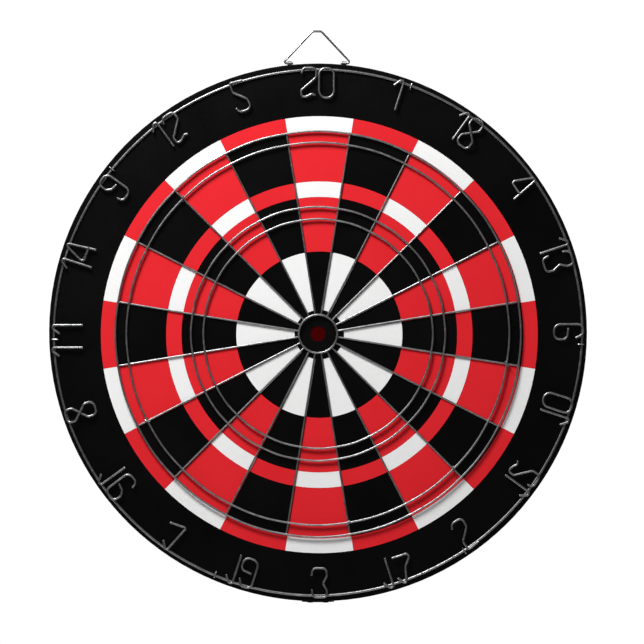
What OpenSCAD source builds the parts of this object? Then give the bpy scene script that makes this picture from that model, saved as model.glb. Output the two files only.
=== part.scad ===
// Steel-tip dartboard: a wound-paper core in a riveted hoop, with a printed face, a welded wire
// spider, a number ring with bent-wire numbers, and a wire bail that swings in two rolled eyes.
// The back lies in the XZ plane, the face looks along -Y, and +Z is up.

/* [Board] */
// Diameter over the hoop
board_d = 451; // [420:1:460]
// Thickness from back to face
board_t = 19; // [15:0.5:38]
// Thickness of the steel hoop
hoop_t = 0.8; // [0.6:0.1:1.2]
// Thickness of the card on the back and on the face
card_t = 0.5; // [0.3:0.1:1]
// Diameter of the plug in the middle of the coil
plug_d = 30; // [20:1:40]

/* [Print] */
// Radius of the red centre
bull_r = 6.35; // [6:0.05:7]
// Radius of the black outer bull
outer_bull_r = 20.7; // [18:0.1:22]
// Outer radius of the inner wedges
wedge_r = 69.7; // [60:0.1:75]
// Outer radius of the inner single band
inner_single_r = 115.5; // [110:0.1:118]
// Outer radius of the middle band
middle_band_r = 128.5; // [122:0.1:132]
// Outer radius of the outer single band
outer_single_r = 171; // [165:0.1:172]
// Outer radius of the rim band of the print
outer_band_r = 183.2; // [178:0.1:188]
// How far the print is off the middle of the board, across and up
print_offset = [1.1, -1.9]; // [-2:0.1:2]
// Thickness of the ink
ink_t = 0.06; // [0.04:0.01:0.1]

/* [Spider] */
// Wire of the spokes
spoke_d = 1.5; // [1.2:0.1:1.8]
// Wire of the spider's rings
ring_wire_d = 1.7; // [1.4:0.1:2]
// Radius of the ring round the bull
bull_ring_r = 16; // [15.5:0.1:17]
// Radii of the two treble rings
treble_r = [96.1, 106.4]; // [90:0.1:110]
// Radii of the two double rings
double_r = [160.3, 169.9]; // [155:0.1:172]
// How far the spider is off the middle of the board, across and up
spider_offset = [0, -1.2]; // [-2:0.1:2]

/* [Numbers] */
// Radius of the number ring
number_ring_r = 220.4; // [218:0.1:221]
// Wire of the number ring
number_ring_d = 2.1; // [1.8:0.1:2.4]
// Wire of the numbers
number_d = 1.9; // [1.6:0.1:2.2]

/* [Bail] */
// Wire of the bail
bail_d = 2; // [1.8:0.1:2.4]
// Half the distance between the bail's feet
bail_half_w = 29; // [24:0.5:34]
// Height of the bail above its pivot
bail_h = 26.9; // [22:0.1:34]
// How far the bail is off the middle of the board, across
bail_x = -0.9; // [-2:0.1:2]
// Distance of the bail's pivot from the back
bail_y = 4; // [3.5:0.1:6]
// Gap between the bail's foot and the bore of its eye, on the radius
pivot_gap = 0.08; // [0.04:0.01:0.1]

/* [Hidden] */
$fn = 48;

sectors = 20;
sector_angle = 360 / sectors;
board_r = board_d / 2;
core_r = board_r - hoop_t;
eps = 0.01;
// Sides of a bent wire, and how far it turns at most from one ring of corners to the next
wire_sides = 8;
wire_step = 30;
bail_sides = 16;
bail_step = 15;

// Heights in front of the back; the wires stand a little off the face and sink into their welds
core_front = board_t - card_t;
wire_gap = 0.1;
spoke_z = board_t + wire_gap + spoke_d / 2;
weld = 0.15;
ring_z = spoke_z + spoke_d / 2 + ring_wire_d / 2 - weld;
number_ring_z = board_t + wire_gap + number_ring_d / 2;
number_z = number_ring_z + number_ring_d / 2 + number_d / 2 - weld;

// Ink: the patches stay clear of each other by twice this
ink_gap = 0.05;

// Staples: wire, reach to each side, and depth into the core
spider_staple_d = 1.1;
spider_staple_reach = 2.3;
spider_staple_spokes = [5, 7, 9, 13, 17];
ring_staple_d = 1.2;
ring_staple_reach = 2.5;
ring_staple_angles = [20.7, 92.6, 146.2, 203, 268.5, 308.4];
staple_depth = 9;
staple_bend = 0.9;
staple_slack = 0.03;

// Hoop lap and its rivets
lap_half_angle = 3.4;
rivet_d = 2.4;
rivet_head_d = 4.6;
rivet_head_t = 0.8;
rivet_depth = 6;
rivet_spread = 6.5;

// Bail and its rolled eyes
bail_bend = 1.6;
bail_top_half_w = 3.8;
bail_top_bend = 3.6;
bail_foot = 9;
pivot_z = board_r + 1.1;
eye_wall = 0.8;
eye_bore_r = bail_d / 2 + pivot_gap;
eye_w = 3.6;
// The feet turn inwards, each through its eye and this far out of it
foot_end = 1.2;
eye_middle = bail_half_w - bail_foot + foot_end + eye_w / 2;
eye_tail_t = 0.8;
eye_tail_depth = 11;
slot_gap = 0.05;

// Bent-wire shapes of the numbers. Each corner is [across, up, forward, bend radius], with "up"
// counted from the number ring, so 0 is on the ring and -23 is the end nearer the bull.
ZERO = [[-6.2, 0.9, 0, 5.4], [6.2, 0.9, 0, 5.4], [6.2, -23.8, 0, 6], [-6.2, -23.8, 0, 6]];
ONE = [[-7.2, -3.9, 0, 0], [-3.1, 1.9, 0, 1.6], [-0.1, 1.6, 0, 1.4], [0, -23.4, 0, 0]];
TWO = [
    [-6, -3.6, 0, 0], [-4.4, 1.3, 0, 3], [6.3, 1.4, 0, 5], [6.4, -6.6, 0, 4],
    [-6.4, -17.6, 0, 3], [-5.8, -23.2, 0, 2.2], [-1.4, -22.6, 0, 5], [3, -20.3, 0, 2], [5.7, -21.8, 0, 0]
];
THREE = [
    [-6.1, -4.9, 0, 0], [-5.4, 1.4, 0, 4.4], [6.2, 1.4, 0, 4.4], [6.4, -4.4, 0, 3], [3.2, -10.2, 0, 1.8],
    [6.4, -16.4, 0, 3], [6, -22.9, 0, 5.4], [-5.4, -22.9, 0, 5.4], [-6.5, -16.6, 0, 0]
];
FOUR = [
    [1.3, -22.4, 0, 0], [-0.9, 1.9, 0, 1.2], [-3.6, 1.5, 0, 1.4], [-10.9, -12.6, 0, 1.8],
    [-10.2, -15.2, 0, 1.4], [1.6, -15.6, 2.1, 0]
];
FIVE = [
    [6.2, 0.2, 0, 0], [-4.9, 0.9, 0, 1.6], [-4.8, -7.2, 0, 3], [5, -15.6, 0, 4],
    [6.6, -24.4, 0, 5.6], [-3.8, -24.8, 0, 4.4], [-6.2, -20.6, 0, 0]
];
SIX = [
    [5.2, -4.6, 0, 0], [2.2, 1.5, 0, 3], [-6.3, 1.5, 0, 4], [-6.4, -22.6, 0, 5.8],
    [6.5, -22.8, 0, 5.8], [6.3, -11.9, 0, 4], [-3.2, -10.6, 0, 0]
];
SEVEN = [[2.5, -3.7, 0, 0], [-2.6, 1.3, 0, 1.2], [-4.6, 1.2, 0, 1], [-7.1, -23, 0, 1.1], [6.9, -18.8, 0, 0]];
BENT_SEVEN = [
    [7.4, -4.2, 0, 0], [3.4, 1.3, 0, 1.2], [1.4, 1.1, 0, 1.2], [-1.7, -11.4, 0, 6],
    [-7.3, -18.4, 0, 2.4], [-6.4, -21.3, 0, 1.6], [7.2, -21.4, 0, 0]
];
// How far one strand of the 8 passes in front of the other
CROSS = 2;
EIGHT = [
    [-5.6, 2.3, 0, 5], [5.2, 2.3, 0, 5], [5.3, -4.6, 0, 3.4], [-5.6, -15.4, 0, 3.4],
    [-5.6, -23.3, 0, 5], [5.8, -23.3, 0, 5], [5.9, -15.6, CROSS, 3.4], [-5.7, -4.5, CROSS, 3.4]
];
NINE = [
    [3.2, -11, 0, 0], [-2.6, -10, 0, 3], [-6, -6.4, 0, 3], [-5.6, 1.4, 0, 4.6], [5.7, 1.5, 0, 4.8],
    [6, -23.6, 0, 5.6], [-4.4, -23.4, 0, 4.4], [-5.9, -18, 0, 0]
];

// The numbers clockwise from the top: [shape, distance across from the middle of the sector,
// turned over]. The lower half reads from below, so a 9 there is the shape of a 6, and so on.
NUMBERS = [
    [[TWO, -7.9, false], [ZERO, 7.1, false]],
    [[ONE, 3.7, false]],
    [[ONE, -3.9, false], [EIGHT, 5.2, false]],
    [[FOUR, 4.9, false]],
    [[ONE, -5.4, false], [THREE, 5.2, false]],
    [[SIX, -0.6, false]],
    [[ZERO, -6.1, false], [ONE, 3.7, true]],
    [[TWO, -5.8, true], [ONE, 4.2, true]],
    [[FIVE, 0, true]],
    [[BENT_SEVEN, -7.3, false], [ONE, 5.3, true]],
    [[THREE, -1, true]],
    [[SIX, -6.3, false], [ONE, 3.4, true]],
    [[SEVEN, 0, false]],
    [[NINE, -7.8, false], [ONE, 3.6, true]],
    [[EIGHT, -2, false]],
    [[ONE, -12.6, false], [ONE, 6.2, false]],
    [[ONE, -6.8, false], [FOUR, 7.1, false]],
    [[NINE, -2.1, false]],
    [[ONE, -6, false], [TWO, 4, false]],
    [[FIVE, -1.2, false]]
];

function unit(v) = v / norm(v);
function place(p) = [p[0], p[1], p[2]];
function corner(points, i) = points[(i + len(points)) % len(points)];
function run_in(points, i) = place(corner(points, i)) - place(corner(points, i - 1));
function run_out(points, i) = place(corner(points, i + 1)) - place(corner(points, i));
function turn(points, i) = acos(min(1, unit(run_in(points, i)) * unit(run_out(points, i))));
// How much of each straight a bend takes up: never more than half of the shorter one
function bend_cut(points, i) = min(
    corner(points, i)[3] * tan(turn(points, i) / 2),
    0.49 * min(norm(run_in(points, i)), norm(run_out(points, i)))
);
function is_end(points, i, closed) = !closed && (i == 0 || i == len(points) - 1);
// The bend at one corner, as points along its arc from the run in to the run out
function bend_path(points, i, step) =
    let (
        u = unit(run_in(points, i)),
        v = unit(run_out(points, i)),
        angle = turn(points, i),
        cut = bend_cut(points, i),
        r = cut / tan(angle / 2),
        across = unit(v - (u * v) * u),
        centre = place(corner(points, i)) - u * cut + across * r,
        steps = ceil(angle / step)
    )
    [for (s = [0 : steps]) centre + r * (sin(s / steps * angle) * u - cos(s / steps * angle) * across)];
function wire_path(points, closed, step) = [
    for (i = [0 : len(points) - 1])
        each is_end(points, i, closed) ? [place(points[i])] : bend_path(points, i, step)
];
// Which way a path runs at one of its points, halfway between the stretches that meet there
function path_run(path, i, closed) =
    let (
        n = len(path),
        back = !closed && i == 0 ? path[0] - path[1] : path[(i + n - 1) % n] - path[i],
        ahead = !closed && i == n - 1 ? path[i] - path[i - 1] : path[(i + 1) % n] - path[i]
    )
    unit(unit(ahead) - unit(back));
function is_loop(shape) = shape == ZERO || shape == EIGHT;
function turned_over(points) = [for (p = points) [-p[0], p[1], p[2], p[3]]];

// A wire bent round the corners, open or a loop, as one many-sided tube
module bent_wire(points, d, closed, sides = wire_sides, step = wire_step) {
    path = wire_path(points, closed, step);
    n = len(path);
    // A number lies flat in X and Y; a staple and the bail stand in X and Z
    flat = max([for (p = points) abs(p[1] - points[0][1])]) > 0;
    rings = [
        for (i = [0 : n - 1])
            let (
                run = path_run(path, i, closed),
                side = unit(cross(run, flat ? [0, 0, 1] : [0, 1, 0])),
                up = cross(side, run)
            )
            for (k = [0 : sides - 1])
                path[i] + d / 2 * (cos(k * 360 / sides) * side + sin(k * 360 / sides) * up)
    ];
    walls = [
        for (i = [0 : closed ? n - 1 : n - 2], k = [0 : sides - 1])
            let (
                here = i * sides,
                there = (i + 1) % n * sides,
                next = (k + 1) % sides
            )
            each [[here + k, there + k, there + next], [here + k, there + next, here + next]]
    ];
    ends = closed ? [] : [
        [for (k = [0 : sides - 1]) k],
        [for (k = [sides - 1 : -1 : 0]) (n - 1) * sides + k]
    ];
    polyhedron(points = rings, faces = concat(walls, ends));
}

module wire_ring(r, d) {
    rotate_extrude($fn = 180)
        translate([r, 0])
            circle(d = d, $fn = 32);
}

// Drawing plane of the face: X across, Y up, Z forward from the back
module on_face(z = 0, offset = [0, 0]) {
    rotate([90, 0, 0])
        translate([offset[0], offset[1], z])
            children();
}

module clockwise(angle) {
    rotate([0, 0, -angle])
        children();
}

module disc(r, z0, z1) {
    translate([0, 0, z0])
        cylinder(r = r, h = z1 - z0, $fn = 180);
}

// One patch of ink between two radii, a sector wide
module ink_patch(r0, r1, sector) {
    inset = ink_gap / (r0 + ink_gap) * 180 / PI;
    clockwise(sector * sector_angle)
        rotate([0, 0, 90 - sector_angle / 2 + inset])
            rotate_extrude(angle = sector_angle - 2 * inset, $fn = 360)
                translate([r0 + ink_gap, 0])
                    square([r1 - r0 - 2 * ink_gap, ink_t]);
}

// Ink on every other sector, starting with the top one or the next
module ink_band(r0, r1, first) {
    for (sector = [first : 2 : sectors - 1])
        ink_patch(r0, r1, sector);
}

module staple(reach, crown_z, d) {
    foot_z = board_t - staple_depth;
    bent_wire([
        [-reach, 0, foot_z, 0], [-reach, 0, crown_z, staple_bend],
        [reach, 0, crown_z, staple_bend], [reach, 0, foot_z, 0]
    ], d, false);
}

// The middle of the eye on one side, at the pivot of the bail
module at_eye(side) {
    translate([bail_x + side * eye_middle, -bail_y, pivot_z])
        children();
}

module eye_tail(side, gap) {
    height = eye_wall / 2 + eye_bore_r + eye_tail_depth;
    at_eye(side)
        translate([0, 0, -height / 2 - eye_bore_r - eye_wall / 2 + eps])
            cube([eye_w + 2 * gap, eye_tail_t + 2 * gap, height + 2 * gap], center = true);
}

module rivet_row(d, z0, h) {
    for (x = [-rivet_spread, rivet_spread])
        translate([x, -board_t / 2, -z0 - h])
            cylinder(d = d, h = h);
}

module paper_core() {
    color([0.30, 0.29, 0.28])
        difference() {
            on_face()
                difference() {
                    disc(core_r, card_t, core_front);
                    disc(plug_d / 2, 0, board_t);
                }
            for (side = [-1, 1])
                eye_tail(side, slot_gap);
            rivet_row(rivet_d, core_r - rivet_depth, rivet_depth + 1);
        }
}

module bull_plug() {
    color([0.25, 0.2, 0.17])
        on_face()
            disc(plug_d / 2, card_t, core_front);
}

module bull_disc() {
    color([0.36, 0, 0])
        on_face(0, spider_offset)
            disc(bull_r, core_front, board_t - card_t / 2);
}

module face_card() {
    color([0.06, 0.06, 0.06])
        on_face()
            difference() {
                disc(core_r, core_front, board_t);
                translate([spider_offset[0], spider_offset[1], 0])
                    disc(bull_r, core_front - 1, board_t + 1);
            }
}

module print_red() {
    color([0.92, 0.15, 0.18])
        on_face(board_t, print_offset) {
            ink_band(wedge_r, inner_single_r, 0);
            ink_band(inner_single_r, middle_band_r, 1);
            ink_band(middle_band_r, outer_single_r, 0);
            ink_band(outer_single_r, outer_band_r, 1);
        }
}

module print_white() {
    color([0.96, 0.96, 0.96])
        on_face(board_t, print_offset) {
            ink_band(outer_bull_r, wedge_r, 1);
            ink_band(inner_single_r, middle_band_r, 0);
            ink_band(outer_single_r, outer_band_r, 0);
        }
}

module back_card() {
    color([0.12, 0.12, 0.12])
        on_face()
            disc(core_r, 0, card_t);
}

// The hoop's ends lap at the bottom, where two rivets hold them
module rim_hoop() {
    color([0.07, 0.07, 0.07])
        difference() {
            on_face() {
                difference() {
                    disc(board_r, 0, board_t);
                    disc(core_r, -1, board_t + 1);
                }
                rotate([0, 0, 270 - lap_half_angle])
                    rotate_extrude(angle = 2 * lap_half_angle, $fn = 360)
                        translate([board_r - eps, 0])
                            square([hoop_t + eps, board_t]);
            }
            for (side = [-1, 1])
                eye_tail(side, slot_gap);
            rivet_row(rivet_d, core_r - 1, 4 * hoop_t);
        }
}

module rim_rivets() {
    color([0.2, 0.2, 0.2]) {
        rivet_row(rivet_d, core_r - rivet_depth, rivet_depth + 2 * hoop_t);
        rivet_row(rivet_head_d, board_r + hoop_t, rivet_head_t);
    }
}

module spider_spokes() {
    color([0.7, 0.71, 0.72])
        on_face(spoke_z, spider_offset)
            for (i = [0 : sectors - 1])
                clockwise((i + 0.5) * sector_angle)
                    translate([0, bull_ring_r, 0])
                        rotate([-90, 0, 0])
                            cylinder(d = spoke_d, h = double_r[1] - bull_ring_r);
}

module spider_ring(r) {
    color([0.72, 0.73, 0.74])
        on_face(ring_z, spider_offset)
            wire_ring(r, ring_wire_d);
}

// Each staple lies aslant over the crossing of a spoke and the inner double ring
module spider_staples() {
    crown_z = ring_z + ring_wire_d / 2 + spider_staple_d / 2 + staple_slack;
    color([0.75, 0.76, 0.77])
        on_face(0, spider_offset)
            for (spoke = spider_staple_spokes)
                clockwise((spoke + 0.5) * sector_angle)
                    translate([0, double_r[0], 0])
                        rotate([0, 0, 45])
                            staple(spider_staple_reach, crown_z, spider_staple_d);
}

module number_ring() {
    color([0.66, 0.67, 0.68])
        on_face(number_ring_z)
            wire_ring(number_ring_r, number_ring_d);
}

module number_ring_staples() {
    crown_z = number_ring_z + number_ring_d / 2 + ring_staple_d / 2 + staple_slack;
    color([0.75, 0.76, 0.77])
        on_face()
            for (angle = ring_staple_angles)
                clockwise(angle)
                    translate([0, number_ring_r, 0])
                        rotate([0, 0, 90])
                            staple(ring_staple_reach, crown_z, ring_staple_d);
}

// The bent wires of one number, welded on the front of the number ring
module number(sector) {
    color([0.72, 0.73, 0.74])
        on_face(number_z)
            clockwise(sector * sector_angle)
                for (digit = NUMBERS[sector])
                    translate([digit[1], number_ring_r, 0])
                        bent_wire(
                            digit[2] ? turned_over(digit[0]) : digit[0],
                            number_d,
                            is_loop(digit[0])
                        );
}

module hanger_eyes() {
    color([0.78, 0.78, 0.77])
        for (side = [-1, 1])
            difference() {
                union() {
                    at_eye(side)
                        rotate([0, 90, 0])
                            cylinder(r = eye_bore_r + eye_wall, h = eye_w, center = true);
                    eye_tail(side, 0);
                }
                at_eye(side)
                    rotate([0, 90, 0])
                        cylinder(r = eye_bore_r, h = eye_w + 2, center = true);
            }
}

module hanger_bail() {
    half_path = [
        [bail_half_w - bail_foot, 0, 0, 0], [bail_half_w, 0, 0, bail_bend],
        [bail_top_half_w, 0, bail_h, bail_top_bend]
    ];
    mirrored = [for (i = [2 : -1 : 0]) [-half_path[i][0], half_path[i][1], half_path[i][2], half_path[i][3]]];
    color([0.74, 0.75, 0.76])
        translate([bail_x, -bail_y, pivot_z])
            bent_wire(concat(half_path, mirrored), bail_d, false, bail_sides, bail_step);
}

paper_core();
bull_plug();
bull_disc();
face_card();
print_red();
print_white();
back_card();
rim_hoop();
rim_rivets();
spider_spokes();
spider_ring(bull_ring_r);  // spider_bull_ring
spider_ring(treble_r[0]);  // spider_treble_inner_ring
spider_ring(treble_r[1]);  // spider_treble_outer_ring
spider_ring(double_r[0]);  // spider_double_inner_ring
spider_ring(double_r[1]);  // spider_double_outer_ring
spider_staples();
number_ring();
number_ring_staples();
number(0);  // number_20
number(1);  // number_1
number(2);  // number_18
number(3);  // number_4
number(4);  // number_13
number(5);  // number_6
number(6);  // number_10
number(7);  // number_15
number(8);  // number_2
number(9);  // number_17
number(10);  // number_3
number(11);  // number_19
number(12);  // number_7
number(13);  // number_16
number(14);  // number_8
number(15);  // number_11
number(16);  // number_14
number(17);  // number_9
number(18);  // number_12
number(19);  // number_5
hanger_eyes();
hanger_bail();
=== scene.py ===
import math
import random

import bpy
import numpy as np
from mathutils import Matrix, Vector, noise

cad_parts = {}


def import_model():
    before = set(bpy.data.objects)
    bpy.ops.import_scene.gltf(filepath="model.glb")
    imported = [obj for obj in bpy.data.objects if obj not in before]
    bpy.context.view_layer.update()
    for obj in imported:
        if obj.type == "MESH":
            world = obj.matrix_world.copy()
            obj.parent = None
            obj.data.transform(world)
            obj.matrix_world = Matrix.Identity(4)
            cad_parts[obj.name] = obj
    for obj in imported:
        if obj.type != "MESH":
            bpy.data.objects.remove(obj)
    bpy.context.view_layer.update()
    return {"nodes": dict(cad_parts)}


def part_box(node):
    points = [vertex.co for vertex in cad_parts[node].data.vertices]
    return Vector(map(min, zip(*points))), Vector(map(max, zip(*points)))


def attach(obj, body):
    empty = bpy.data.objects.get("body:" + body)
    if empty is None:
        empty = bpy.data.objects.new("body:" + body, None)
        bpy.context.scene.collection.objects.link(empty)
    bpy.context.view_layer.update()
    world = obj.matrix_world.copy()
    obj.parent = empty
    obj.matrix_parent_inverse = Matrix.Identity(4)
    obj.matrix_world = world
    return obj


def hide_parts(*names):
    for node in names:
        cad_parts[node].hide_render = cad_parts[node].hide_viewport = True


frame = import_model()
NODES = frame["nodes"]
BOARD = "board"
BAIL = "bail"
MM = 0.001

# ---------------------------------------------------------------- sizes, from the frame (mm)


def box_mm(node):
    low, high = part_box(node)
    return low / MM, high / MM


def ring_size(node):
    """Middle, radius and wire radius of a wire ring that lies parallel to the face."""
    low, high = box_mm(node)
    wire = (high.y - low.y) / 2
    return (low + high) / 2, (high.x - low.x) / 2 - wire, wire


FACE_Y = box_mm("face_card")[0].y
BACK_Y = box_mm("back_card")[1].y
SECTORS = 20
SECTOR = 2 * math.pi / SECTORS
RINGS = [
    "spider_bull_ring",
    "spider_treble_inner_ring",
    "spider_treble_outer_ring",
    "spider_double_inner_ring",
    "spider_double_outer_ring",
]
SPIDER_MIDDLE = ring_size(RINGS[-1])[0]
SPOKE_LOW, SPOKE_HIGH = box_mm("spider_spokes")
SPOKE_R = (SPOKE_HIGH.y - SPOKE_LOW.y) / 2
SPOKE_Y = (SPOKE_HIGH.y + SPOKE_LOW.y) / 2
NUMBER_RING_R = ring_size("number_ring")[1]
NUMBER_LOW, NUMBER_HIGH = box_mm("number_1")
NUMBER_WIRE = (NUMBER_HIGH.y - NUMBER_LOW.y) / 2
NUMBER_Y = (NUMBER_HIGH.y + NUMBER_LOW.y) / 2

# ---------------------------------------------------------------- material helpers


def srgb(r, g, b):
    """Colour as seen (0-255) to the linear values that the shader takes."""
    out = []
    for v in (r, g, b):
        v /= 255
        out.append(v / 12.92 if v <= 0.04045 else ((v + 0.055) / 1.055) ** 2.4)
    return (*out, 1.0)


class Nodes:
    """A material under construction: short names for the nodes that this scene uses."""

    def __init__(self, name):
        self.mat = bpy.data.materials.new(name)
        self.mat.use_nodes = True
        self.tree = self.mat.node_tree
        self.bsdf = self.tree.nodes["Principled BSDF"]
        self.coord = self.tree.nodes.new("ShaderNodeTexCoord").outputs["Object"]

    def link(self, out, into):
        self.tree.links.new(out, into)

    def new(self, kind, **settings):
        node = self.tree.nodes.new(kind)
        for key, value in settings.items():
            setattr(node, key, value)
        return node

    def mapped(self, scale=(1, 1, 1), rotation=(0, 0, 0), vector=None):
        node = self.new("ShaderNodeMapping")
        node.inputs["Scale"].default_value = scale
        node.inputs["Rotation"].default_value = rotation
        self.link(vector or self.coord, node.inputs["Vector"])
        return node.outputs["Vector"]

    def noise(self, scale, detail=3.0, roughness=0.5, vector=None):
        node = self.new("ShaderNodeTexNoise")
        node.inputs["Scale"].default_value = scale
        node.inputs["Detail"].default_value = detail
        node.inputs["Roughness"].default_value = roughness
        self.link(vector or self.coord, node.inputs["Vector"])
        return node.outputs["Fac"]

    def math(self, operation, a, b=0.0, c=0.0):
        node = self.new("ShaderNodeMath", operation=operation)
        for socket, value in zip(node.inputs, (a, b, c)):
            if isinstance(value, (int, float)):
                socket.default_value = value
            else:
                self.link(value, socket)
        return node.outputs["Value"]

    def spread(self, value, low, high, to_low=0.0, to_high=1.0):
        node = self.new("ShaderNodeMapRange")
        self.link(value, node.inputs["Value"])
        for name, number in (
            ("From Min", low),
            ("From Max", high),
            ("To Min", to_low),
            ("To Max", to_high),
        ):
            node.inputs[name].default_value = number
        return node.outputs["Result"]

    def mix(self, fac, a, b):
        node = self.new("ShaderNodeMix", data_type="RGBA")
        self.link(fac, node.inputs["Factor"])
        for name, value in (("A", a), ("B", b)):
            socket = next(s for s in node.inputs if s.name == name and s.type == "RGBA")
            if isinstance(value, tuple):
                socket.default_value = value
            else:
                self.link(value, socket)
        return next(s for s in node.outputs if s.type == "RGBA")

    def radius(self):
        """Distance from the board's axis, in metres."""
        split = self.new("ShaderNodeSeparateXYZ")
        self.link(self.coord, split.inputs["Vector"])
        x, z = split.outputs["X"], split.outputs["Z"]
        squares = self.math("ADD", self.math("MULTIPLY", x, x), self.math("MULTIPLY", z, z))
        return self.math("SQRT", squares)

    def bump(self, layers):
        """Stacks (height, strength, distance in metres) bumps onto the shader's normal."""
        normal = None
        for height, strength, distance in layers:
            node = self.new("ShaderNodeBump")
            node.inputs["Strength"].default_value = strength
            node.inputs["Distance"].default_value = distance
            self.link(height, node.inputs["Height"])
            if normal:
                self.link(normal, node.inputs["Normal"])
            normal = node.outputs["Normal"]
        self.link(normal, self.bsdf.inputs["Normal"])

    def set(self, **values):
        for key, value in values.items():
            socket = self.bsdf.inputs[key.replace("_", " ")]
            if isinstance(value, (int, float, tuple)):
                socket.default_value = value
            else:
                self.link(value, socket)
        return self

    def done(self):
        return self.mat


def coil_lines(m, pitch=0.0026):
    """The turns of the wound strip: one ridge every pitch metres of radius, a little uneven."""
    wander = m.math("MULTIPLY", m.noise(9.0, 2.0), 0.004)
    r = m.math("ADD", m.radius(), wander)
    turn = m.math("FRACT", m.math("DIVIDE", r, pitch))
    return m.math("ABSOLUTE", m.math("SUBTRACT", turn, 0.5))


def printed_face(name, colour, worn, specular, rough):
    """Ink on card over a wound core: fibres, faint coil ridges, and a slightly uneven tone."""
    m = Nodes(name)
    cloud = m.noise(14.0, 4.0, 0.6)
    fibre = m.noise(900.0, 4.0, 0.65, m.mapped((1.0, 1.0, 0.35), (0.0, 0.6, 0.0)))
    speck = m.spread(m.noise(2600.0, 2.0), 0.60, 0.74)
    tone = m.mix(m.spread(cloud, 0.3, 0.7), colour, worn)
    tone = m.mix(m.math("MULTIPLY", speck, 0.22), tone, worn)
    m.set(
        Base_Color=tone,
        Roughness=m.spread(m.math("ADD", fibre, cloud), 0.7, 1.3, rough - 0.06, rough + 0.08),
        Specular_IOR_Level=specular,
    )
    m.bump([(coil_lines(m), 0.10, 0.0002), (fibre, 0.30, 0.00006), (speck, 0.10, 0.00003)])
    return m.done()


def wire_steel(name, bright, dull, rough, stain=0.35):
    """Drawn galvanised wire: zinc cloudiness, fine drawing lines and dull spots."""
    m = Nodes(name)
    cloud = m.noise(160.0, 4.0, 0.6)
    grain = m.noise(2200.0, 3.0, 0.6)
    spots = m.spread(m.noise(420.0, 2.0, 0.4), 0.56, 0.70)
    tone = m.mix(m.spread(cloud, 0.32, 0.68), dull, bright)
    tone = m.mix(m.math("MULTIPLY", spots, stain), tone, tuple(0.35 * v for v in dull[:3]) + (1.0,))
    m.set(
        Base_Color=tone,
        Metallic=1.0,
        Roughness=m.spread(m.math("ADD", grain, spots), 0.3, 1.2, rough - 0.07, rough + 0.16),
    )
    m.bump([(grain, 0.25, 0.00003), (cloud, 0.15, 0.00008)])
    return m.done()


def hoop_paint(name):
    """Satin black paint on a steel strip, rubbed thin here and there along its edges."""
    m = Nodes(name)
    split = m.new("ShaderNodeSeparateXYZ")
    m.link(m.coord, split.inputs["Vector"])
    middle = (FACE_Y + BACK_Y) / 2 * MM
    half = abs(FACE_Y - BACK_Y) / 2 * MM
    off = m.math("ABSOLUTE", m.math("SUBTRACT", split.outputs["Y"], middle))
    edge = m.spread(off, half - 0.0009, half + 0.0001)
    chips = m.spread(m.noise(140.0, 5.0, 0.7), 0.57, 0.66)
    wear = m.math("MULTIPLY", edge, chips)
    peel = m.noise(480.0, 3.0, 0.5)
    scuff = m.spread(m.noise(60.0, 5.0, 0.7, m.mapped((1.0, 7.0, 1.0))), 0.58, 0.75)
    tone = m.mix(m.math("MULTIPLY", scuff, 0.5), srgb(5, 5, 5), srgb(16, 16, 16))
    tone = m.mix(wear, tone, srgb(92, 90, 87))
    m.set(
        Base_Color=tone,
        Metallic=m.math("MULTIPLY", wear, 0.8),
        Roughness=m.spread(m.math("ADD", peel, scuff), 0.4, 1.4, 0.42, 0.66),
        Specular_IOR_Level=0.2,
    )
    m.bump([(peel, 0.20, 0.00006), (wear, 0.35, -0.00005)])
    return m.done()


def plain_paper(name, colour, other, coil):
    """Uncoated board: long fibres, mottling, and the coil's turns where they show through."""
    m = Nodes(name)
    mottle = m.noise(36.0, 5.0, 0.65)
    fibre = m.noise(650.0, 4.0, 0.7, m.mapped((1.0, 1.0, 0.2), (0.0, 0.9, 0.0)))
    tone = m.mix(m.spread(m.math("ADD", mottle, fibre), 0.7, 1.3), colour, other)
    lines = coil_lines(m)
    tone = m.mix(m.math("MULTIPLY", m.spread(lines, 0.42, 0.5), coil), tone, (0.0, 0.0, 0.0, 1.0))
    m.set(Base_Color=tone, Roughness=m.spread(fibre, 0.3, 0.7, 0.78, 0.94), Specular_IOR_Level=0.25)
    m.bump([(lines, 0.5 * coil + 0.1, 0.0003), (fibre, 0.4, 0.0001)])
    return m.done()


# ---------------------------------------------------------------- mesh helpers


def new_piece(name, shape, material, body, node=None):
    """A piece from (verts, faces) that rides on a body and may stand in for a CAD node."""
    verts, faces = shape
    mesh = bpy.data.meshes.new(name)
    mesh.from_pydata([tuple(v) for v in verts], [], faces)
    mesh.update()
    mesh.polygons.foreach_set("use_smooth", [True] * len(mesh.polygons))
    mesh.materials.append(material)
    piece = bpy.data.objects.new(name, mesh)
    bpy.context.scene.collection.objects.link(piece)
    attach(piece, body)
    if node:
        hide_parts(node)


def unit(v):
    return v / np.linalg.norm(v)


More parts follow.
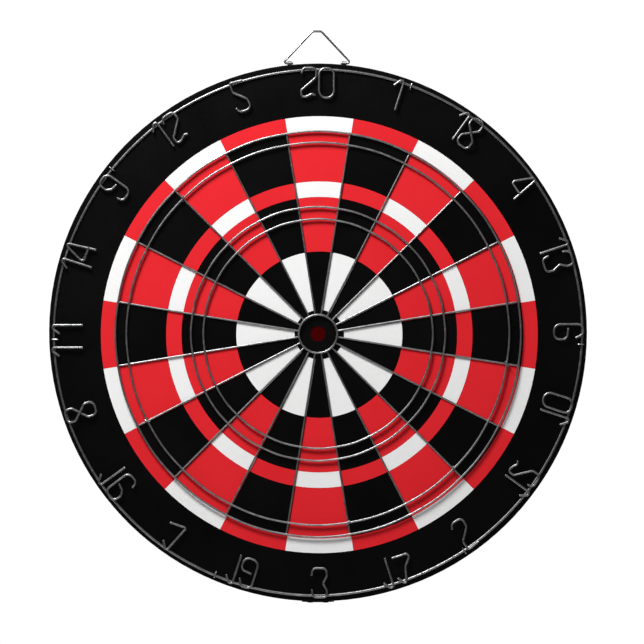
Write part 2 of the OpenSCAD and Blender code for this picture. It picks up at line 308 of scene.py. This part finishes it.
def tube(path, radii, closed=False, sides=14):
    """Verts (metres) and faces of a round wire along a path in mm, with rounded ends."""
    path = [np.array(p, float) for p in path]
    radii = [radii] * len(path) if isinstance(radii, (int, float)) else list(radii)
    if not closed:
        path, radii = round_ends(path, radii)
    n = len(path)
    runs = []
    for i in range(n):
        back = path[i] - path[i - 1] if closed or i else path[1] - path[0]
        ahead = path[(i + 1) % n] - path[i] if closed or i < n - 1 else path[i] - path[i - 1]
        runs.append(unit(unit(back) + unit(ahead)))
    side = unit(np.cross(runs[0], [0.0, 1.0, 0.0] if abs(runs[0][1]) < 0.9 else [1.0, 0.0, 0.0]))
    verts, faces = [], []
    for i in range(n):
        side = unit(side - runs[i] * side.dot(runs[i]))
        up = np.cross(side, runs[i])
        for k in range(sides):
            a = 2 * math.pi * k / sides
            verts.append((path[i] + radii[i] * (math.cos(a) * side + math.sin(a) * up)) * MM)
    for i in range(n if closed else n - 1):
        here, there = i * sides, (i + 1) % n * sides
        for k in range(sides):
            after = (k + 1) % sides
            faces.append((here + k, there + k, there + after, here + after))
    if not closed:
        faces.append(tuple(range(sides)))
        faces.append(tuple((n - 1) * sides + k for k in reversed(range(sides))))
    return verts, faces


def round_ends(path, radii, edge=0.35):
    """Cropped wire ends: a small round on the rim and a flat end, as snips leave them."""
    for flip in (False, True):
        if flip:
            path, radii = path[::-1], radii[::-1]
        end, r = path[0], radii[0]
        run = unit(path[1] - path[0])
        turns = [s * math.pi / 2 for s in (1.0, 0.65, 0.3, 0.0)]
        tip = [end + run * edge * r * (1 - math.sin(a)) for a in turns]
        tip_r = [r * (1 - edge) + edge * r * math.cos(a) for a in turns]
        path, radii = tip + path[1:], tip_r + radii[1:]
    return path[::-1], radii[::-1]


def joined(parts):
    """Several (verts, faces) as one."""
    verts, faces = [], []
    for part_verts, part_faces in parts:
        base = len(verts)
        verts.extend(part_verts)
        faces.extend(tuple(i + base for i in face) for face in part_faces)
    return verts, faces


def clockwise(point, angle, middle=(0.0, 0.0)):
    """Turns (across, up) round the middle, clockwise seen from the front."""
    c, s = math.cos(angle), math.sin(angle)
    return middle[0] + point[0] * c + point[1] * s, middle[1] - point[0] * s + point[1] * c


def drift(seed, t, waves=((1, 0.5), (2, 0.35), (3, 0.3), (5, 0.2), (9, 0.12))):
    """A smooth periodic wander with t from 0 to 1, of size about 1."""
    rnd = random.Random(seed)
    total = 0.0
    for turns, size in waves:
        total += size * math.sin(2 * math.pi * (turns * t + rnd.random()))
    return total


def bend_points(corners, closed=False, step=math.radians(9)):
    """Points along a bent wire. Each corner is (x, y, z, bend radius) in mm."""
    pts = [np.array(c[:3], float) for c in corners]
    n = len(pts)
    path = []
    for i in range(n):
        if not closed and i in (0, n - 1):
            path.append(pts[i])
            continue
        run_in, run_out = pts[i] - pts[i - 1], pts[(i + 1) % n] - pts[i]
        u, v = unit(run_in), unit(run_out)
        angle = math.acos(max(-1.0, min(1.0, float(u.dot(v)))))
        limit = 0.49 * min(np.linalg.norm(run_in), np.linalg.norm(run_out))
        cut = min(corners[i][3] * math.tan(angle / 2), limit)
        r = cut / math.tan(angle / 2)
        across = unit(v - u.dot(v) * u)
        centre = pts[i] - u * cut + across * r
        steps = max(2, math.ceil(angle / step))
        for s in range(steps + 1):
            a = angle * s / steps
            path.append(centre + r * (math.sin(a) * u - math.cos(a) * across))
    return path


def filled(path, spacing, closed=False):
    """The same path with points no further apart than the spacing."""
    out = []
    for i, p in enumerate(path):
        if i == len(path) - 1 and not closed:
            out.append(p)
            break
        q = path[(i + 1) % len(path)]
        parts = max(1, math.ceil(np.linalg.norm(q - p) / spacing))
        out.extend(p + (q - p) * s / parts for s in range(parts))
    return out


# ---------------------------------------------------------------- materials

FACE_BLACK = printed_face("face_black", srgb(1, 1, 1), srgb(3, 3, 3), 0.16, 0.36)
PRINT_RED = printed_face("print_red", srgb(236, 39, 48), srgb(229, 35, 43), 0.12, 0.62)
PRINT_WHITE = printed_face("print_white", srgb(252, 252, 252), srgb(248, 247, 246), 0.12, 0.62)
# The bull disc is red, but painted far darker than the print's red: painted shade for the shallow
# hollow it sits in.
BULL_RED_PAINTED_SHADE = printed_face("bull_red", srgb(73, 0, 2), srgb(66, 0, 1), 0.02, 0.7)
SPIDER_WIRE = wire_steel("spider_wire", srgb(176, 176, 177), srgb(140, 141, 143), 0.38)
NUMBER_STEEL = wire_steel("number_wire", srgb(164, 164, 165), srgb(128, 129, 131), 0.38)
STAPLE_WIRE = wire_steel("staple_wire", srgb(184, 184, 184), srgb(150, 150, 152), 0.34)
BAIL_WIRE = wire_steel("bail_wire", srgb(216, 217, 218), srgb(182, 184, 186), 0.24, 0.2)
EYE_STEEL = wire_steel("eye_steel", srgb(214, 213, 210), srgb(176, 176, 174), 0.28, 0.25)
RIVET_STEEL = wire_steel("rivet_steel", srgb(96, 96, 96), srgb(60, 60, 60), 0.34, 0.3)
HOOP_PAINT = hoop_paint("hoop_paint")
WOUND_PAPER = plain_paper("wound_paper", srgb(148, 143, 134), srgb(128, 122, 112), 0.8)
BULL_PLUG = plain_paper("bull_plug", srgb(112, 98, 84), srgb(94, 80, 66), 0.5)
BACK_CARD = plain_paper("back_card", srgb(44, 43, 42), srgb(33, 32, 31), 0.25)

KEPT = {
    "paper_core": WOUND_PAPER,
    "bull_plug": BULL_PLUG,
    "bull_disc": BULL_RED_PAINTED_SHADE,
    "face_card": FACE_BLACK,
    "print_red": PRINT_RED,
    "print_white": PRINT_WHITE,
    "back_card": BACK_CARD,
    "rim_hoop": HOOP_PAINT,
    "rim_rivets": RIVET_STEEL,
    "hanger_eyes": EYE_STEEL,
    "spider_staples": STAPLE_WIRE,
    "number_ring_staples": STAPLE_WIRE,
}
for name, material in KEPT.items():
    NODES[name].data.materials.clear()
    NODES[name].data.materials.append(material)

# ---------------------------------------------------------------- spider

# How far hand work strays from the drawn lines: mm, and an angle for the spokes
RING_WOBBLE = 0.22
BULL_RING_WOBBLE = 0.05
RING_LIFT = 0.05
SPOKE_TURN = math.radians(0.12)
SPOKE_BOW = 0.35
# Half the size of a weld nugget across, forward and up
WELD_SIZE = (1.15, 0.75, 1.15)


def wandering_ring(node, wobble, lift, oval=0.0, long_way=0.0, sides=16, steps=400):
    """A hand-welded ring: it bows a little between the spokes and isn't quite round.

    An oval ring is wider by one and a half times oval along the long way, an angle clockwise from
    the top, and narrower by half of it across.
    """
    middle, r, wire = ring_size(node)
    path = []
    for i in range(steps):
        t = i / steps
        a = 2 * math.pi * t
        bow = 0.5 * wobble * math.cos(SECTORS * a)
        bulge = oval * (0.5 + math.cos(2 * (a - long_way)))
        rr = r + bow + bulge + wobble * drift(node, t)
        y = middle.y + lift * drift(node + "y", t)
        path.append(np.array([middle.x + rr * math.sin(a), y, middle.z + rr * math.cos(a)]))
    return tube(path, wire, True, sides)


def spokes(points=25):
    """Straight wires from the bull ring to the outer double ring, each a touch bent and turned."""
    inner = ring_size(RINGS[0])[1]
    outer = ring_size(RINGS[-1])[1]
    parts = []
    for k in range(SECTORS):
        rnd = random.Random(k)
        angle = (k + 0.5) * SECTOR + rnd.uniform(-SPOKE_TURN, SPOKE_TURN)
        bow = rnd.uniform(-SPOKE_BOW, SPOKE_BOW)
        path = []
        for s in range(points):
            t = s / (points - 1)
            across = bow * math.sin(math.pi * t)
            x, z = clockwise((across, inner + (outer - inner) * t), angle, SPIDER_MIDDLE.xz)
            path.append(np.array([x, SPOKE_Y, z]))
        parts.append(tube(path, SPOKE_R, False, 12))
    return joined(parts)


def nugget(centre, size, seed, rings=6, sides=10, lumpiness=0.16):
    """A weld nugget: a lumpy flattened ball."""
    rnd = random.Random(seed)
    shift = Vector((rnd.random() * 9, rnd.random() * 9, rnd.random() * 9))
    verts, faces = [], []
    for i in range(rings + 1):
        lat = math.pi * (i / rings - 0.5)
        for k in range(sides):
            lon = 2 * math.pi * k / sides
            d = Vector((math.cos(lat) * math.cos(lon), math.sin(lat), math.cos(lat) * math.sin(lon)))
            lump = 1 + lumpiness * noise.noise(d * 1.6 + shift)
            p = np.array([d.x * size[0], d.y * size[1], d.z * size[2]]) * lump + centre
            verts.append(p * MM)
    for i in range(rings):
        for k in range(sides):
            after = (k + 1) % sides
            a, b = i * sides, (i + 1) * sides
            faces.append((a + k, b + k, b + after, a + after))
    faces.append(tuple(range(sides)))
    faces.append(tuple(rings * sides + k for k in reversed(range(sides))))
    return verts, faces


def welds():
    """A nugget wherever a spoke and a ring cross."""
    parts = []
    for j, node in enumerate(RINGS):
        middle, r, wire = ring_size(node)
        for k in range(SECTORS):
            x, z = clockwise((0.0, r), (k + 0.5) * SECTOR, middle.xz)
            y = middle.y + wire
            parts.append(nugget(np.array([x, y, z]), WELD_SIZE, j * 100 + k))
    return joined(parts)


for name in RINGS:
    wobble = BULL_RING_WOBBLE if name == "spider_bull_ring" else RING_WOBBLE
    ring = wandering_ring(name, wobble, RING_LIFT)
    new_piece(name + "_wire", ring, SPIDER_WIRE, BOARD, name)

number_ring = wandering_ring(
    "number_ring", wobble=0.15, lift=0.06, oval=0.9, long_way=math.radians(62)
)
new_piece("number_ring_wire", number_ring, NUMBER_STEEL, BOARD, "number_ring")
new_piece("spider_spoke_wires", spokes(), SPIDER_WIRE, BOARD, "spider_spokes")
new_piece("spider_welds", welds(), SPIDER_WIRE, BOARD)

# ---------------------------------------------------------------- numbers

# Bent-wire shapes, as in the design: (across, up from the number ring, forward, bend radius).
CROSS = 2.0
SHAPES = {
    "zero": [(-6.2, 0.9, 0, 5.4), (6.2, 0.9, 0, 5.4), (6.2, -23.8, 0, 6), (-6.2, -23.8, 0, 6)],
    "one": [(-7.2, -3.9, 0, 0), (-3.1, 1.9, 0, 1.6), (-0.1, 1.6, 0, 1.4), (0, -23.4, 0, 0)],
    "two": [
        (-6, -3.6, 0, 0), (-4.4, 1.3, 0, 3), (6.3, 1.4, 0, 5), (6.4, -6.6, 0, 4),
        (-6.4, -17.6, 0, 3), (-5.8, -23.2, 0, 2.2), (-1.4, -22.6, 0, 5), (3, -20.3, 0, 2),
        (5.7, -21.8, 0, 0),
    ],
    "three": [
        (-6.1, -4.9, 0, 0), (-5.4, 1.4, 0, 4.4), (6.2, 1.4, 0, 4.4), (6.4, -4.4, 0, 3),
        (3.2, -10.2, 0, 1.8), (6.4, -16.4, 0, 3), (6, -22.9, 0, 5.4), (-5.4, -22.9, 0, 5.4),
        (-6.5, -16.6, 0, 0),
    ],
    "four": [
        (1.3, -22.4, 0, 0), (-0.9, 1.9, 0, 1.2), (-3.6, 1.5, 0, 1.4), (-10.9, -12.6, 0, 1.8),
        (-10.2, -15.2, 0, 1.4), (1.6, -15.6, 2.1, 0),
    ],
    "five": [
        (6.2, 0.2, 0, 0), (-4.9, 0.9, 0, 1.6), (-4.8, -7.2, 0, 3), (5, -15.6, 0, 4),
        (6.6, -24.4, 0, 5.6), (-3.8, -24.8, 0, 4.4), (-6.2, -20.6, 0, 0),
    ],
    "six": [
        (5.2, -4.6, 0, 0), (2.2, 1.5, 0, 3), (-6.3, 1.5, 0, 4), (-6.4, -22.6, 0, 5.8),
        (6.5, -22.8, 0, 5.8), (6.3, -11.9, 0, 4), (-3.2, -10.6, 0, 0),
    ],
    "seven": [
        (2.5, -3.7, 0, 0), (-2.6, 1.3, 0, 1.2), (-4.6, 1.2, 0, 1), (-7.1, -23, 0, 1.1),
        (6.9, -18.8, 0, 0),
    ],
    "bent_seven": [
        (7.4, -4.2, 0, 0), (3.4, 1.3, 0, 1.2), (1.4, 1.1, 0, 1.2), (-1.7, -11.4, 0, 6),
        (-7.3, -18.4, 0, 2.4), (-6.4, -21.3, 0, 1.6), (7.2, -21.4, 0, 0),
    ],
    "eight": [
        (-5.6, 2.3, 0, 5), (5.2, 2.3, 0, 5), (5.3, -4.6, 0, 3.4), (-5.6, -15.4, 0, 3.4),
        (-5.6, -23.3, 0, 5), (5.8, -23.3, 0, 5), (5.9, -15.6, CROSS, 3.4), (-5.7, -4.5, CROSS, 3.4),
    ],
    "nine": [
        (3.2, -11, 0, 0), (-2.6, -10, 0, 3), (-6, -6.4, 0, 3), (-5.6, 1.4, 0, 4.6),
        (5.7, 1.5, 0, 4.8), (6, -23.6, 0, 5.6), (-4.4, -23.4, 0, 4.4), (-5.9, -18, 0, 0),
    ],
}
LOOPS = ("zero", "eight")
# The most, in mm, between two rings of points along a bent wire
WIRE_SPACING = 2.0
# Clockwise from the top: value, then (shape, distance across, turned over) for each wire.
NUMBERS = [
    (20, ("two", -7.9, False), ("zero", 7.1, False)),
    (1, ("one", 3.7, False)),
    (18, ("one", -3.9, False), ("eight", 5.2, False)),
    (4, ("four", 4.9, False)),
    (13, ("one", -5.4, False), ("three", 5.2, False)),
    (6, ("six", -0.6, False)),
    (10, ("zero", -6.1, False), ("one", 3.7, True)),
    (15, ("two", -5.8, True), ("one", 4.2, True)),
    (2, ("five", 0.0, True)),
    (17, ("bent_seven", -7.3, False), ("one", 5.3, True)),
    (3, ("three", -1.0, True)),
    (19, ("six", -6.3, False), ("one", 3.4, True)),
    (7, ("seven", 0.0, False)),
    (16, ("nine", -7.8, False), ("one", 3.6, True)),
    (8, ("eight", -2.0, False)),
    (11, ("one", -12.6, False), ("one", 6.2, False)),
    (14, ("one", -6.8, False), ("four", 7.1, False)),
    (9, ("nine", -2.1, False)),
    (12, ("one", -6.0, False), ("two", 4.0, False)),
    (5, ("five", -1.2, False)),
]


def digit_wire(shape, across, turned, sector):
    """One digit, stood on the number ring at its sector."""
    sign = -1 if turned else 1
    corners = []
    for x, up, forward, bend in SHAPES[shape]:
        px, pz = clockwise((across + sign * x, NUMBER_RING_R + up), sector * SECTOR)
        corners.append((px, NUMBER_Y - forward, pz, bend))
    closed = shape in LOOPS
    return tube(filled(bend_points(corners, closed), WIRE_SPACING, closed), NUMBER_WIRE, closed)


def number_piece(sector, value, digits):
    wires = joined([digit_wire(*digit, sector) for digit in digits])
    node = f"number_{value}"
    new_piece(node + "_wire", wires, NUMBER_STEEL, BOARD, node)


for sector, (value, *digits) in enumerate(NUMBERS):
    number_piece(sector, value, digits)

# ---------------------------------------------------------------- bail


def bail(half_width=29.0, foot=9.0, foot_bend=1.6, top_half=3.8, top_bend=3.6):
    """The hanging bail, with the sizes of the design: in-turned feet, two legs, a round top."""
    low, high = box_mm("hanger_bail")
    wire = (high.y - low.y) / 2
    y = (low.y + high.y) / 2
    middle = (low.x + high.x) / 2
    pivot = low.z + wire
    top = high.z - wire
    half = [
        (half_width - foot, y, pivot, 0),
        (half_width, y, pivot, foot_bend),
        (top_half, y, top, top_bend),
    ]
    corners = [(middle + x, *rest) for x, *rest in half]
    corners += [(middle - x, *rest) for x, *rest in reversed(half)]
    shape = tube(filled(bend_points(corners), WIRE_SPACING), wire, sides=18)
    new_piece("bail_wire", shape, BAIL_WIRE, BAIL, "hanger_bail")


bail()

# ---------------------------------------------------------------- stage, light and camera


def stage():
    """A pale floor well below the board, wide enough for the other views and no wider."""
    sides, radius, z = 96, 0.9, -0.62
    verts = [(0.0, 0.0, z)]
    verts += [
        (radius * math.cos(2 * math.pi * k / sides), radius * math.sin(2 * math.pi * k / sides), z)
        for k in range(sides)
    ]
    faces = [(0, 1 + k, 1 + (k + 1) % sides) for k in range(sides)]
    mesh = bpy.data.meshes.new("floor")
    mesh.from_pydata(verts, [], faces)
    m = Nodes("floor")
    m.set(
        Base_Color=m.mix(m.noise(6.0), srgb(236, 236, 236), srgb(228, 228, 228)),
        Roughness=0.8,
    )
    mesh.materials.append(m.done())
    floor = bpy.data.objects.new("floor", mesh)
    bpy.context.scene.collection.objects.link(floor)


def world(front, up, down, shown):
    """White behind the board; for light and reflections it is bright above and dim below."""
    w = bpy.data.worlds.new("world")
    bpy.context.scene.world = w
    w.use_nodes = True
    nodes, links = w.node_tree.nodes, w.node_tree.links
    nodes.clear()
    coord = nodes.new("ShaderNodeTexCoord")
    split = nodes.new("ShaderNodeSeparateXYZ")
    links.new(coord.outputs["Generated"], split.inputs[0])
    ramp = nodes.new("ShaderNodeValToRGB")
    fit = nodes.new("ShaderNodeMapRange")
    fit.inputs["From Min"].default_value = -1.0
    links.new(split.outputs["Z"], fit.inputs["Value"])
    links.new(fit.outputs["Result"], ramp.inputs["Fac"])
    stops = ramp.color_ramp.elements
    stops[0].color = (down, down, down, 1)
    stops[1].color = (up, up, up, 1)
    stops.new(0.5).color = (front, front, front, 1)
    light = nodes.new("ShaderNodeBackground")
    links.new(ramp.outputs["Color"], light.inputs["Color"])
    seen = nodes.new("ShaderNodeBackground")
    seen.inputs["Color"].default_value = (1, 1, 1, 1)
    seen.inputs["Strength"].default_value = shown
    path = nodes.new("ShaderNodeLightPath")
    mix = nodes.new("ShaderNodeMixShader")
    links.new(path.outputs["Is Camera Ray"], mix.inputs["Fac"])
    links.new(light.outputs[0], mix.inputs[1])
    links.new(seen.outputs[0], mix.inputs[2])
    out = nodes.new("ShaderNodeOutputWorld")
    links.new(mix.outputs[0], out.inputs["Surface"])


def area(name, place, size, power):
    """A round soft light that faces the middle of the board's back."""
    data = bpy.data.lights.new(name, "AREA")
    data.shape = "DISK"
    data.size = size
    data.energy = power
    lamp = bpy.data.objects.new(name, data)
    bpy.context.scene.collection.objects.link(lamp)
    lamp.location = place
    lamp.rotation_euler = (-Vector(place)).to_track_quat("-Z", "Y").to_euler()


def camera():
    """Square to the face, far off with a long lens."""
    distance = 3.2
    frame_width = 0.5399
    right, up = 0.00335, 0.00872
    data = bpy.data.cameras.new("camera")
    data.sensor_width = 36.0
    data.lens = data.sensor_width * distance / frame_width
    cam = bpy.data.objects.new("camera", data)
    bpy.context.scene.collection.objects.link(cam)
    cam.location = (right, FACE_Y * MM - distance, up)
    cam.rotation_euler = (math.pi / 2, 0.0, 0.0)
    bpy.context.scene.camera = cam


bpy.context.scene.view_settings.view_transform = "Standard"
world(front=0.105, up=0.35, down=0.015, shown=1.05)
area("key", place=(-0.4, -0.6, 0.9), size=0.4, power=16.7)
area("back_light", place=(0.6, 1.6, 0.9), size=1.0, power=14.0)
camera()
stage()
